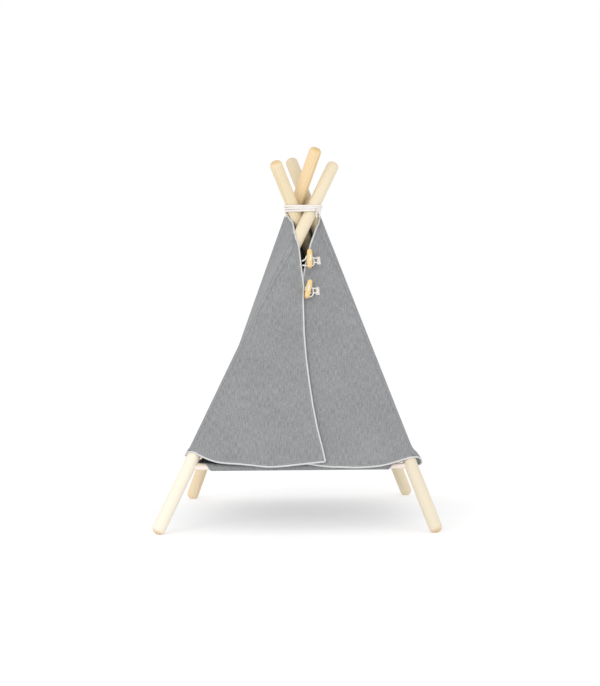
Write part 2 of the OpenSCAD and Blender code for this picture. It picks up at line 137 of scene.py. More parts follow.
# Each wall is (band's first direction, band's last direction, poles, wall's first, wall's last).
LEFT = (135, FRONT, (0, 2, 3), 135, 225)
LEFT_WRAP = (135, FRONT, (0, 2, 3), 225, FRONT)
RIGHT = (-45, 135, (1, 2, 3), -45, 45)
REAR = (-45, 135, (1, 2, 3), 45, 135)
RIGHT_WRAP = (FRONT, 315, (1,), FRONT, 315)


def walk(wall, z, r):
    """Points along the band at height z, and their distances from its start."""
    points = []
    for angle in np.arange(wall[0], wall[1] + TURN / 2, TURN):
        n = np.array([math.cos(math.radians(angle)), math.sin(math.radians(angle))])
        points.append(max((touch(i, angle, z, r) for i in wall[2]), key=lambda p: n @ p))
    points = np.array(points)
    return points, np.r_[0, np.cumsum(np.linalg.norm(np.diff(points, axis=0), axis=1))]


class Wall:
    """A wall as a surface of its share u of length and of height z, read from a table of bands."""

    def __init__(self, wall, r=CLOTH_AT):
        self.heights = np.linspace(0.1, 0.625, 64)
        self.bands = []
        for z in self.heights:
            points, at = walk(wall, z, r)
            low_at = at if z <= APART_Z else walk(wall, APART_Z, r)[1]
            ends = [low_at[round((a - wall[0]) / TURN)] / low_at[-1] * at[-1] for a in wall[3:]]
            self.bands.append((points, at, ends))

    def row(self, k, u):
        points, at, (first, last) = self.bands[k]
        d = first + (last - first) * u
        return np.array([np.interp(d, at, points[:, 0]), np.interp(d, at, points[:, 1])])

    def at(self, u, z):
        step = self.heights[1] - self.heights[0]
        k = min(max((z - self.heights[0]) / step, 0), len(self.heights) - 1.001)
        x, y = lerp(self.row(int(k), u), self.row(int(k) + 1, u), k - int(k))
        return Vector((x, y, z))

    def length(self, z):
        first, last = self.bands[int(np.argmin(abs(self.heights - z)))][2]
        return last - first


WALLS = {"left": Wall(LEFT), "left_wrap": Wall(LEFT_WRAP), "right": Wall(RIGHT), "rear": Wall(REAR),
         "right_wrap": Wall(RIGHT_WRAP)}


def wall_hem(i, j, u):
    return lerp(HEM_Z[i], HEM_Z[j], u) - HEM_DROP * (1 - abs(2 * u - 1) ** 3)


def hinge(i, z):
    return Vector((*touch(i, FRONT, z, CLOTH_AT), z))


def front_share(x, z):
    left, right = hinge(0, z), hinge(1, z)
    return (x - left.x) / (right.x - left.x)


def across(x, z, forward=0.0):
    """The point of the front face at x and z, moved forward."""
    point = hinge(0, z).lerp(hinge(1, z), front_share(x, z))
    return Vector((x, point.y - forward, z))


def clear_of_poles(p, near=18 * MM, far=70 * MM):
    return smooth(near, far, min(np.linalg.norm(centre(i, p[2]) - np.array(p[:2])) for i in range(4)))


def hermite(a, b, slope_a, slope_b, h, t):
    """The cubic from a to b over a step of h, at share t of the way."""
    return ((2 * t ** 3 - 3 * t ** 2 + 1) * a + (t ** 3 - 2 * t ** 2 + t) * h * slope_a
            + (3 * t ** 2 - 2 * t ** 3) * b + (t ** 3 - t ** 2) * h * slope_b)


def curve_through(points, s):
    """A smooth curve of y over x through a few points (Catmull-Rom)."""
    xs, ys = [p[0] for p in points], [p[1] for p in points]
    k = min(max(int(np.searchsorted(xs, s)) - 1, 0), len(xs) - 2)
    slope = np.gradient(ys, xs)
    h = xs[k + 1] - xs[k]
    return hermite(ys[k], ys[k + 1], slope[k], slope[k + 1], h, (s - xs[k]) / h)


# ---- Materials ----
def node_material(name):
    material = bpy.data.materials.new(name)
    material.use_nodes = True
    tree = material.node_tree
    return material, tree, tree.nodes["Principled BSDF"]


class Graph:
    """Short calls for a material's node tree."""

    def __init__(self, tree):
        self.tree = tree

    def add(self, kind, inputs=(), **settings):
        node = self.tree.nodes.new("ShaderNode" + kind)
        for key, value in settings.items():
            setattr(node, key, value)
        for key, value in dict(inputs).items():
            if isinstance(value, bpy.types.NodeSocket):
                self.tree.links.new(value, node.inputs[key])
            else:
                node.inputs[key].default_value = value
        return node

    def math(self, operation, a, b=0.0, c=0.0):
        return self.add("Math", {0: a, 1: b, 2: c}, operation=operation).outputs[0]

    def noise(self, vector, scale, detail=2.0, roughness=0.5):
        inputs = {"Vector": vector, "Scale": scale, "Detail": detail, "Roughness": roughness}
        return self.add("TexNoise", inputs).outputs["Fac"]

    def stretched(self, vector, scale, turn=(0, 0, 0), shift=(0, 0, 0)):
        inputs = {"Vector": vector, "Scale": scale, "Rotation": turn, "Location": shift}
        return self.add("Mapping", inputs).outputs[0]

    def ramp(self, factor, stops):
        node = self.add("ValToRGB", {"Fac": factor})
        while len(node.color_ramp.elements) < len(stops):
            node.color_ramp.elements.new(0.5)
        for element, (at, colour) in zip(node.color_ramp.elements, stops):
            element.position = at
            element.color = (*colour, 1)
        return node.outputs["Color"]

    def mix(self, factor, a, b, blend="MIX"):
        node = self.add("Mix", data_type="RGBA", blend_type=blend)
        for index, value in ((0, factor), (6, a), (7, b)):
            if isinstance(value, bpy.types.NodeSocket):
                self.tree.links.new(value, node.inputs[index])
            else:
                node.inputs[index].default_value = value if index == 0 else (*value, 1)
        return node.outputs[2]

    def bump(self, height, distance, strength=1.0, normal=None):
        inputs = {"Height": height, "Distance": distance, "Strength": strength}
        if normal is not None:
            inputs["Normal"] = normal
        return self.add("Bump", inputs).outputs["Normal"]

    def link(self, output, socket):
        self.tree.links.new(output, socket)


def weave(g, cloth_uv, pitch):
    """Height of a plain weave whose threads lie a pitch apart, between -1 and 1."""
    axes = g.add("SeparateXYZ", {0: cloth_uv})
    waves = [g.math("SINE", g.math("MULTIPLY", axes.outputs[k], math.pi / pitch)) for k in (0, 1)]
    return g.math("MULTIPLY", *waves)


def canvas_material(name, dark, light, pitch=0.9 * MM):
    """Heathered cotton canvas: slubbed warp along v, finer weft along u, and a plain weave."""
    material, tree, shader = node_material(name)
    g = Graph(tree)
    uv = g.add("UVMap", uv_map="cloth").outputs[0]
    warp = g.noise(g.stretched(uv, (1 / 1.6, 1 / 13, 1)), 1000, 3, 0.6)
    weft = g.noise(g.stretched(uv, (1 / 7, 1 / 1.1, 1), shift=(3, 7, 0)), 1000, 2, 0.5)
    cloud = g.noise(uv, 14, 2)
    threads = g.math("ADD", g.math("MULTIPLY", warp, 0.62), g.math("MULTIPLY", weft, 0.38))
    crossing = weave(g, uv, pitch)
    shade = g.math("MULTIPLY_ADD", crossing, 0.035, threads)
    shade = g.math("MULTIPLY_ADD", g.math("SUBTRACT", cloud, 0.5), 0.12, shade)
    g.link(g.ramp(shade, [(0.36, dark), (0.64, light)]), shader.inputs["Base Color"])
    g.link(g.math("MULTIPLY_ADD", threads, 0.16, 0.8), shader.inputs["Roughness"])
    height = g.math("MULTIPLY_ADD", threads, 0.8, crossing)
    g.link(g.bump(height, 0.16 * MM, 0.6), shader.inputs["Normal"])
    shader.inputs["Sheen Weight"].default_value = 0.12
    shader.inputs["Specular IOR Level"].default_value = 0.2
    return material


def tape_material(name, base, shade, pitch=0.55 * MM):
    """Fine cotton tape or cord: diagonal threads round a tube, with a little soiling."""
    material, tree, shader = node_material(name)
    g = Graph(tree)
    uv = g.add("UVMap", uv_map="cloth").outputs[0]
    diagonal = g.stretched(uv, (1, 1, 1), turn=(0, 0, math.radians(38)))
    crossing = weave(g, diagonal, pitch)
    fuzz = g.noise(g.stretched(uv, (1, 0.35, 1)), 2600, 3, 0.6)
    soil = g.noise(uv, 45, 3, 0.6)
    tone = g.math("MULTIPLY_ADD", crossing, 0.1, fuzz)
    tone = g.math("MULTIPLY_ADD", g.math("SUBTRACT", soil, 0.5), 0.35, tone)
    g.link(g.ramp(tone, [(0.25, shade), (0.6, base)]), shader.inputs["Base Color"])
    g.link(g.math("MULTIPLY_ADD", fuzz, 0.15, 0.78), shader.inputs["Roughness"])
    g.link(g.bump(g.math("MULTIPLY_ADD", crossing, 0.5, fuzz), 0.12 * MM, 0.7), shader.inputs["Normal"])
    shader.inputs["Sheen Weight"].default_value = 0.15
    shader.inputs["Specular IOR Level"].default_value = 0.25
    return material


def wood_material(name, point, direction, colours, span, seed, painted_foot_light=0.0, gloss=0.62):
    """Solid wood round a turned axis: growth rings about a pith beside it, pores, and darker ends.
    colours are light, dark and end grain, span is where the ends lie along the axis, from point,
    and the argument after seed is how much painted light lightens the wood towards its first, lower end."""
    light, dark, end_grain = colours
    material, tree, shader = node_material(name)
    g = Graph(tree)
    turn = Vector(direction).rotation_difference(Vector((0, 0, 1))).to_euler()
    moved = -(turn.to_matrix() @ Vector(point))
    local = g.stretched(g.add("TexCoord").outputs["Object"], (1, 1, 1), turn=tuple(turn), shift=tuple(moved))
    axes = g.add("SeparateXYZ", {0: local})
    along = axes.outputs[2]
    wander = g.noise(g.stretched(local, (1, 1, 0.12), shift=(seed, seed, seed)), 28, 2)
    pith = Vector((math.cos(seed), math.sin(seed), 0)) * 17 * MM
    off_pith = g.stretched(local, (1, 1, 0.015), shift=tuple(pith))
    radius = g.add("VectorMath", {0: off_pith}, operation="LENGTH").outputs["Value"]
    ring = g.math("SINE", g.math("MULTIPLY_ADD", radius, 2600, g.math("MULTIPLY", wander, 16)))
    ring = g.math("POWER", g.math("MULTIPLY_ADD", ring, 0.5, 0.5), 2.2)
    fibre = g.noise(g.stretched(local, (1, 1, 0.02), shift=(0, seed, 0)), 1500, 3, 0.65)
    patch = g.noise(g.stretched(local, (1, 1, 0.3)), 16, 2)
    tone = g.math("MULTIPLY_ADD", ring, 0.3, g.math("MULTIPLY", fibre, 0.5))
    tone = g.math("MULTIPLY_ADD", g.math("SUBTRACT", patch, 0.5), 0.4, tone)
    colour = g.ramp(tone, [(0.12, light), (0.72, dark)])
    half = (span[1] - span[0]) / 2
    # Painted light: towards the lower end the wood is mixed into a pale colour that stands in for light from
    # the floor.
    foot_light_mask = g.add("MapRange", {0: along, 1: span[0] + half, 2: span[0] + half * 0.2, 3: 0.0, 4: painted_foot_light},
                 interpolation_type="SMOOTHSTEP").outputs[0]
    colour = g.mix(foot_light_mask, colour, (0.88, 0.83, 0.74))
    from_end = g.math("SUBTRACT", half, g.math("ABSOLUTE", g.math("SUBTRACT", along, span[0] + half)))
    from_end = g.math("MULTIPLY_ADD", wander, 5 * MM, from_end)
    end = g.add("MapRange", {0: from_end, 1: 11 * MM, 2: 0.5 * MM, 3: 0.0, 4: 1.0},
                interpolation_type="SMOOTHSTEP").outputs[0]
    colour = g.mix(g.math("MULTIPLY", end, g.math("MULTIPLY_ADD", fibre, 0.6, 0.42)), colour, end_grain)
    g.link(colour, shader.inputs["Base Color"])
    g.link(g.math("MULTIPLY_ADD", tone, 0.2, gloss - 0.08), shader.inputs["Roughness"])
    g.link(g.bump(g.math("MULTIPLY_ADD", ring, 0.4, fibre), 0.12 * MM, 0.5), shader.inputs["Normal"])
    shader.inputs["Specular IOR Level"].default_value = 0.35
    return material


# ---- Mesh builders ----
def make_mesh(name, vertices, faces, uvs, material):
    """A smooth mesh object; uvs holds one (u, v) in metres per corner of each face."""
    mesh = bpy.data.meshes.new(name)
    mesh.from_pydata([tuple(v) for v in vertices], [], faces)
    layer = mesh.uv_layers.new(name="cloth")
    layer.data.foreach_set("uv", np.array(uvs, float).ravel())
    mesh.polygons.foreach_set("use_smooth", [True] * len(mesh.polygons))
    mesh.update()
    mesh.materials.append(material)
    obj = bpy.data.objects.new(name, mesh)
    bpy.context.scene.collection.objects.link(obj)
    return obj


def grid_mesh(name, points, uv, material):
    """A cloth of rows by columns of points, given its thickness by a modifier."""
    rows, cols = len(points), len(points[0])
    faces, uvs = [], []
    for i in range(rows - 1):
        for j in range(cols - 1):
            corners = [(i, j), (i, j + 1), (i + 1, j + 1), (i + 1, j)]
            faces.append([a * cols + b for a, b in corners])
            uvs += [uv[a][b] for a, b in corners]
    obj = make_mesh(name, [p for row in points for p in row], faces, uvs, material)
    solid = obj.modifiers.new("thickness", "SOLIDIFY")
    solid.thickness, solid.offset = CLOTH_T, 0
    return obj


def resampled(path, step):
    """Points a step apart along a smooth curve through path."""
    path = np.array([tuple(p) for p in path])
    at = np.r_[0, np.cumsum(np.linalg.norm(np.diff(path, axis=0), axis=1))]
    slopes = np.gradient(path, at, axis=0)
    out = []
    for s in np.linspace(0, at[-1], max(2, round(at[-1] / step) + 1)):
        k = min(max(int(np.searchsorted(at, s)) - 1, 0), len(at) - 2)
        h = at[k + 1] - at[k]
        out.append(hermite(path[k], path[k + 1], slopes[k], slopes[k + 1], h, (s - at[k]) / h))
    return np.array(out)


def thinned(path, gap):
    """path without the points that lie closer than gap to the one before; its last point stays."""
    kept = [Vector(path[0])]
    for p in path[1:]:
        if (Vector(p) - kept[-1]).length >= gap:
            kept.append(Vector(p))
    kept[-1] = Vector(path[-1])
    return kept


def relaxed(path, passes):
    """path with its corners eased."""
    path = np.array([tuple(p) for p in path])
    for _ in range(passes):
        path[1:-1] = (path[:-2] + 2 * path[1:-1] + path[2:]) / 4
    return path


def piping_line(points):
    """An even, eased line through an edge's points, which runs on a little past both ends."""
    line = relaxed(resampled(thinned(points, 1.5 * MM), 1.6 * MM), 3)
    first, last = (line[a] + (line[a] - line[b]) / np.linalg.norm(line[a] - line[b]) * PIPING_R
                   for a, b in ((0, 1), (-1, -2)))
    return np.vstack([first, line, last])


def tube_rings(path, radius, sides, lobes=0, pitch=1.0, depth=0.0, closed=False, round_ends=True):
    """Rings of points round path, with helical lobes for the strands of a cord."""
    path = np.array([tuple(p) for p in path])
    count = len(path)
    ahead, behind = np.roll(path, -1, 0), np.roll(path, 1, 0)
    if not closed:
        ahead[-1], behind[0] = path[-1], path[0]
    tangents = ahead - behind
    tangents /= np.linalg.norm(tangents, axis=1)[:, None]
    side = np.cross(tangents[0], (0, 0, 1) if abs(tangents[0][2]) < 0.9 else (0, 1, 0))
    side /= np.linalg.norm(side)
    at = np.r_[0, np.cumsum(np.linalg.norm(np.diff(path, axis=0), axis=1))]
    rings = []
    for k in range(count):
        side = side - tangents[k] * (side @ tangents[k])
        side /= np.linalg.norm(side)
        up = np.cross(tangents[k], side)
        from_end = min(at[k], at[-1] - at[k])
        cap = 1.0
        if round_ends and not closed and from_end < radius:
            cap = math.sqrt(max(1 - (1 - from_end / radius) ** 2, 0.01))
        ring = []
        for s in range(sides):
            a = math.tau * s / sides
            swell = 1 + depth * math.cos(lobes * a - math.tau * at[k] / pitch * lobes) if lobes else 1
            ring.append(path[k] + radius * cap * swell * (side * math.cos(a) + up * math.sin(a)))
        rings.append(ring)
    return rings, at


def tube(name, paths, radius, material, sides=10, step=1.2 * MM, lobes=0, pitch=1.0, depth=0.0,
         closed=False):
    """One or more round cords as one mesh."""
    vertices, faces, uvs = [], [], []
    for raw in paths:
        path = raw if closed else resampled(raw, step)
        rings, at = tube_rings(path, radius, sides, lobes, pitch, depth, closed)
        base, count = len(vertices), len(rings)
        vertices += [p for ring in rings for p in ring]
        round_uv = math.tau * radius / sides
        for k in range(count if closed else count - 1):
            k2 = (k + 1) % count
            low = at[k]
            high = at[k2] if k2 else at[k] + (at[1] - at[0])
            for s in range(sides):
                s2 = (s + 1) % sides
                faces.append([base + k * sides + s, base + k * sides + s2,
                              base + k2 * sides + s2, base + k2 * sides + s])
                uvs += [(s * round_uv, low), ((s + 1) * round_uv, low),
                        ((s + 1) * round_uv, high), (s * round_uv, high)]
        if not closed:
            for k, order in ((0, range(sides - 1, -1, -1)), (count - 1, range(sides))):
                faces.append([base + k * sides + s for s in order])
                uvs += [(s * round_uv, at[k]) for s in order]
    return make_mesh(name, vertices, faces, uvs, material)


def stitches(name, paths, material, length=2.7 * MM, pitch=4 * MM):
    """Rows of single stitches lying on the cloth along paths."""
    runs = []
    for path in paths:
        fine = resampled(path, length / 3)
        per = max(round(pitch / (length / 3)), 4)
        for k in range(1, len(fine) - 4, per):
            runs.append(fine[k:k + 4])
    vertices, faces, uvs = [], [], []
    sides = 5
    for run in runs:
        rings, at = tube_rings(run, THREAD_R, sides, round_ends=False)
        for k, shrink in ((0, 0.45), (3, 0.45)):
            rings[k] = [run[k] + (p - run[k]) * shrink for p in rings[k]]
        base = len(vertices)
        vertices += [p for ring in rings for p in ring]
        for k in range(3):
            for s in range(sides):
                s2 = (s + 1) % sides
                faces.append([base + k * sides + s, base + k * sides + s2,
                              base + (k + 1) * sides + s2, base + (k + 1) * sides + s])
                uvs += [(s * MM, at[k]), (s2 * MM, at[k]), (s2 * MM, at[k + 1]), (s * MM, at[k + 1])]
        for k, order in ((0, range(sides - 1, -1, -1)), (3, range(sides))):
            faces.append([base + k * sides + s for s in order])
            uvs += [(s * MM, at[k]) for s in order]
    return make_mesh(name, vertices, faces, uvs, material)


# ---- Cloth surfaces of (u, v): u runs from left to right as seen from outside, v from hem to top ----
class Cloth:
    def __init__(self, place, uv):
        self.place, self.uv = place, uv

    def normal(self, u, v):
        e = 2e-3
        u0, u1, v0, v1 = max(u - e, 0), min(u + e, 1), max(v - e, 0), min(v + e, 1)
        along = self.place(u1, v) - self.place(u0, v)
        up = self.place(u, v1) - self.place(u, v0)
        return along.cross(up).normalized()

    def above(self, u, v, height):
        return self.place(u, v) + self.normal(u, v) * height

    def sheet(self, name, cols, rows, material):
        points = [[self.place(u, v) for u in cols] for v in rows]
        uv = [[self.uv(u, v) for u in cols] for v in rows]
        return grid_mesh(name, points, uv, material)


def billow(p, seed):
    """Soft unevenness of hung canvas, with faint folds that run down the slope."""
    low = noise.noise(Vector((p[0] * 7, p[1] * 7, p[2] * 5)) + Vector((seed, 0, 0)))
    fold = noise.noise(Vector((p[0] * 26, p[1] * 26, p[2] * 6)) + Vector((0, seed, 0)))
    return 2.4 * MM * low + 0.8 * MM * fold


BULGE_HEIGHT = 17 * MM      # how far up a hem's bulge reaches


def side_cloth(key, low, top, seed, bulge):
    """A side or rear wall, taut between its poles, whose hem bulges between them."""
    wall = WALLS[key]

    def place(u, v):
        z = lerp(low(u), top(u), v)
        p = wall.at(u, z)
        ends = wall.at(1, z) - wall.at(0, z)
        out = Vector((ends.y, -ends.x, ends.length * 0.42)).normalized()
        slack = math.exp(-((z - low(u)) / BULGE_HEIGHT) ** 4) * bulge(u)
        return p + out * (clear_of_poles(p) * (billow(p, seed) - 1.5 * MM) + slack)

    def uv(u, v):
        z = lerp(low(u), top(u), v)
        return (u - 0.5) * wall.length(z), z * 1.15

    return Cloth(place, uv)


def left_top(u):
    return COVER_TOP - (COVER_TOP - LEFT_SEAM_Z) * max(0, (u - LEFT_CUT) / (1 - LEFT_CUT))


def right_low(u):
    return curve_through(RIGHT_SIDE_HEM, u) * MM


def right_bulge(u):
    """The right hem curls out just behind the front pole, as in the photo."""
    return curve_through(RIGHT_SIDE_BULGE, u) * MM


def right_top(u):
    return COVER_TOP - (COVER_TOP - RIGHT_SEAM_Z) * max(0, (RIGHT_CUT - u) / RIGHT_CUT)


def front_wave(x, z, low):
    """How far the front face stands forward: loose at the hem, flat from the toggles up."""
    fall = math.exp(-max(z - low, 0) / (75 * MM))
    hem = (1.3 + 2.6 * math.sin(math.tau * (x + 60 * MM) / (175 * MM))) * MM * fall
    body = billow(Vector((x, 0.3, z)), 5) * smooth(430 * MM, 330 * MM, z)
    p = across(x, z)
    return (hem + body) * clear_of_poles(p, 15 * MM, 60 * MM)


WRAP_SHARE = 0.08   # share of a front cloth's columns that lie round its pole


def left_front_cloth():
    corner_x = LEFT_EDGE[0][1]

    def place(u, v):
        if u <= WRAP_SHARE:
            w = u / WRAP_SHARE
            return WALLS["left_wrap"].at(w, lerp(HEM_Z[0], lerp(LEFT_SEAM_Z, LEFT_NECK_Z, w), v))
        t = (u - WRAP_SHARE) / (1 - WRAP_SHARE)
        low_x = lerp(hinge(0, HEM_Z[0]).x, corner_x, t)
        low = curve_through(LEFT_HEM, front_share(low_x, HEM_Z[0])) * MM
        z = lerp(low, LEFT_NECK_Z, v)
        x = lerp(hinge(0, z).x, np.interp(z, LEFT_EDGE[:, 0], LEFT_EDGE[:, 1]), t)
        share = front_share(x, z)
        curl = 1.6 * MM * smooth(0.8, 1, t) * smooth(540 * MM, 420 * MM, z)
        return across(x, z, FLAP_LIFT * smooth(0, 0.16, share) + front_wave(x, z, low) + curl)

    def uv(u, v):
        p = place(u, v)
        if u > WRAP_SHARE:
            return p.x, p.z * 1.08
        at_hinge = hinge(0, p.z)
        return at_hinge.x - (1 - u / WRAP_SHARE) * CLOTH_AT * math.pi / 4, p.z * 1.08

    return Cloth(place, uv)


def right_front_cloth():
    low_edge_x = np.interp(130 * MM, RIGHT_EDGE[:, 0], RIGHT_EDGE[:, 1])

    def place(u, v):
        if u >= 1 - WRAP_SHARE:
            w = (u - 1 + WRAP_SHARE) / WRAP_SHARE
            return WALLS["right_wrap"].at(w, lerp(HEM_Z[1], lerp(RIGHT_NECK_Z, RIGHT_SEAM_Z, w), v))
        t = u / (1 - WRAP_SHARE)
        low_x = lerp(low_edge_x, hinge(1, HEM_Z[1]).x, t)
        low = curve_through(RIGHT_HEM, front_share(low_x, HEM_Z[1])) * MM
        z = lerp(low, RIGHT_NECK_Z, v)
        x = lerp(np.interp(z, RIGHT_EDGE[:, 0], RIGHT_EDGE[:, 1]), hinge(1, z).x, t)
        return across(x, z, front_wave(x, z, low))

    def uv(u, v):
        p = place(u, v)
        if u < 1 - WRAP_SHARE:
            return p.x + 0.7, p.z * 1.08 + 0.3
        at_hinge = hinge(1, p.z)
        return at_hinge.x + 0.7 + (u - 1 + WRAP_SHARE) / WRAP_SHARE * CLOTH_AT * math.pi / 4, p.z * 1.08 + 0.3

    return Cloth(place, uv)


# ---- Colours ----
CANVAS_DARK, CANVAS_LIGHT = (0.187, 0.19, 0.196), (0.324, 0.329, 0.337)
WHITE_TAPE, TAPE_SHADE = (0.66, 0.665, 0.66), (0.45, 0.46, 0.47)
cover_canvas = canvas_material("cover_canvas", CANVAS_DARK, CANVAS_LIGHT)
bed_canvas = canvas_material("bed_canvas", CANVAS_DARK, CANVAS_LIGHT, 0.8 * MM)
piping_tape = tape_material("piping_tape", WHITE_TAPE, TAPE_SHADE)
lashing_cotton = tape_material("lashing_cotton", (0.86, 0.82, 0.79), (0.64, 0.59, 0.55), 0.7 * MM)
toggle_cotton = tape_material("toggle_cotton", (0.95, 0.94, 0.91), (0.78, 0.75, 0.7), 0.5 * MM)
thread = tape_material("thread", (0.6, 0.61, 0.62), (0.4, 0.41, 0.42), 0.3 * MM)
tan_thread = tape_material("tan_thread", (0.5, 0.42, 0.36), (0.34, 0.28, 0.24), 0.3 * MM)

# ---- Camera, floor and light ----
def make_camera():
    """Where the object is seen from: nearly level, a little below the toggles' height."""
    data = bpy.data.cameras.new("camera")
    camera = bpy.data.objects.new("camera", data)
    bpy.context.scene.collection.objects.link(camera)
    focal_px, long_side_px = 1400.5, 686
    data.sensor_width = 36
    data.lens = focal_px / long_side_px * data.sensor_width
    camera.location = (5.07 * MM, -2850.4 * MM, 428.9 * MM)
    pitch, yaw, roll = -0.0288, 0.0009, -0.0071
    ahead = Vector((math.sin(yaw) * math.cos(pitch), math.cos(yaw) * math.cos(pitch), math.sin(pitch)))
    right = Vector((math.cos(yaw), -math.sin(yaw), 0))
    up = right.cross(ahead)
    right, up = (right * math.cos(roll) + up * math.sin(roll), up * math.cos(roll) - right * math.sin(roll))
    turned = Matrix((right, up, -ahead)).transposed().to_4x4()
    camera.matrix_world = Matrix.Translation(camera.location) @ turned
    data.clip_start, data.clip_end = 0.05, 60
    bpy.context.scene.camera = camera


def area_light(name, place, target, size, watts):
    data = bpy.data.lights.new(name, "AREA")
    data.shape, data.size, data.energy = "DISK", size, watts
    light = bpy.data.objects.new(name, data)
    bpy.context.scene.collection.objects.link(light)
    light.location = place
    light.rotation_mode = "QUATERNION"
    light.rotation_quaternion = (Vector(target) - Vector(place)).to_track_quat("-Z", "Y")


def make_studio():
    floor_mesh = bpy.data.meshes.new("floor")
    far = 14
    floor_mesh.from_pydata([(-far, -far, 0), (far, -far, 0), (far, far, 0), (-far, far, 0)], [], [(0, 1, 2, 3)])
    floor = bpy.data.objects.new("floor", floor_mesh)
    bpy.context.scene.collection.objects.link(floor)
    material, _, shader = node_material("floor")
    shader.inputs["Base Color"].default_value = (0.62, 0.62, 0.62, 1)
    shader.inputs["Emission Color"].default_value = (1, 1, 1, 1)
    shader.inputs["Emission Strength"].default_value = 0.4
    shader.inputs["Roughness"].default_value = 0.9
    shader.inputs["Specular IOR Level"].default_value = 0.1
    floor_mesh.materials.append(material)
    world = bpy.data.worlds.new("studio")
    world.use_nodes = True
    world.node_tree.nodes["Background"].inputs[0].default_value = (1, 1, 1, 1)
    world.node_tree.nodes["Background"].inputs[1].default_value = 1.0
    bpy.context.scene.world = world
    bpy.context.scene.view_settings.view_transform = "Standard"
    middle = (0, 0, 0.35)
    area_light("key", (-1.5, -2.6, 1.5), middle, 1.8, 24)
    area_light("fill", (1.9, -2.4, 0.9), middle, 1.6, 7)


make_camera()
make_studio()


# ---- Wood: the CAD's own poles, bars and toggles ----
def paint(name, material):
    mesh = NODES[name].data
    mesh.materials.clear()
    mesh.materials.append(material)
    mesh.polygons.foreach_set("use_smooth", [True] * len(mesh.polygons))
    mesh.set_sharp_from_angle(angle=math.radians(35))


def finish_wood():
    ends = (0.62, 0.39, 0.15)
    tones = [((0.79, 0.7, 0.53), (0.68, 0.57, 0.4)), ((0.71, 0.62, 0.45), (0.57, 0.47, 0.31)),
             ((0.79, 0.68, 0.48), (0.68, 0.55, 0.34)), ((0.83, 0.68, 0.45), (0.69, 0.46, 0.21))]
    # Painted light: how much each pole is lightened towards its foot, standing in for light from the floor.
    painted_foot_light = [0.6, 0.3, 0.15, 0.2]
    for k, name in enumerate(POLE_NAMES):
        point, direction = AXES[k]
        along = [(v.co - Vector(point)).dot(Vector(direction)) for v in NODES[name].data.vertices]
        paint(name, wood_material("pole_wood_" + str(k), point, direction, (*tones[k], ends),
                                  (min(along), max(along)), 1.7 * k + 0.6, painted_foot_light=painted_foot_light[k]))
    for k, name in enumerate(("front_crossbar", "rear_crossbar")):
        low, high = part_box(name)
        point = (low + high) / 2
        half = (high.x - low.x) / 2
        tone = ((0.86, 0.77, 0.71), (0.76, 0.63, 0.54), ends)
        bar = wood_material("bar_wood_" + str(k), point, (1, 0, 0), tone, (-half, half), 4.1 + k)
        paint(name, bar)
    for k, name in enumerate(("upper_toggle", "lower_toggle")):
        low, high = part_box(name)
        point, lean = (low + high) / 2, (high - low)
        direction = Vector((lean.x * 0.3, lean.y * 0.5, lean.z)).normalized()
        half = lean.length / 2
        horn = wood_material("toggle_wood_" + str(k), point, direction,
                             ((0.84, 0.64, 0.33), (0.7, 0.46, 0.17), (0.62, 0.4, 0.15)), (-half, half), 2.3 + k,
                             gloss=0.6)
        paint(name, horn)


finish_wood()


# ---- Cover ----
def edges_and_middle(count, ends=0.07, end_count=7):
    """Values from 0 to 1 that lie closer together at both ends."""
    first = np.linspace(0, ends, end_count)
    return np.r_[first, np.linspace(ends, 1 - ends, count)[1:-1], 1 - first[::-1]]


HEM_STITCH_IN = 3.4 * MM     # from the piping's middle line to its seam
OVER_CLOTH = CLOTH_T / 2 + 0.12 * MM


def wall_v(cloth, u, inset):
    """The share of height that lies inset above the hem."""
    return inset / (cloth.place(u, 1) - cloth.place(u, 0)).length


def build_side(key, name, low, top, seed, bulge, replaced):
    cloth = side_cloth(key, low, top, seed, bulge)
    cols, rows = edges_and_middle(70), np.r_[np.linspace(0, 0.1, 9), np.linspace(0.1, 1, 84)[1:]]
    obj = cloth.sheet(name, cols, rows, cover_canvas)
    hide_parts(replaced)
    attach(obj, "frame")
    low_row = [cloth.above(u, wall_v(cloth, u, HEM_STITCH_IN), OVER_CLOTH)
               for u in np.linspace(0.01, 0.99, 90)]
    top_row = [cloth.above(u, 1 - wall_v(cloth, u, HEM_STITCH_IN), OVER_CLOTH)
               for u in np.linspace(0.03, 0.97, 24)]
    seam = stitches(name + "_stitches", [low_row, top_row], thread)
    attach(seam, "frame")
    return cloth


def side_bulge(height, near, peak):
    """A hem that stands off beside the front pole; near is the front pole's end, 0 or 1."""
    def bulge(u):
        t = abs(u - near)
        wave = 2 * MM * math.sin(math.tau * t * 2.5) * t
        return height * smooth(0.02, peak, t) * smooth(0.85, peak, t) + wave
    return bulge


def rear_bulge(u):
    return 3 * MM * math.sin(math.tau * u * 2.2) * smooth(0, 0.15, u) * smooth(1, 0.85, u)


left_side = build_side("left", "left_side_cloth", lambda u: wall_hem(3, 0, u), left_top, 1.3,
                       side_bulge(8 * MM, 1, 0.2), "left_side_panel")
rear = build_side("rear", "rear_cloth", lambda u: wall_hem(2, 3, u), lambda u: COVER_TOP, 2.9, rear_bulge,
                  "rear_panel")
right_side = build_side("right", "right_side_cloth", right_low, right_top, 4.2, right_bulge,
                        "right_side_panel")


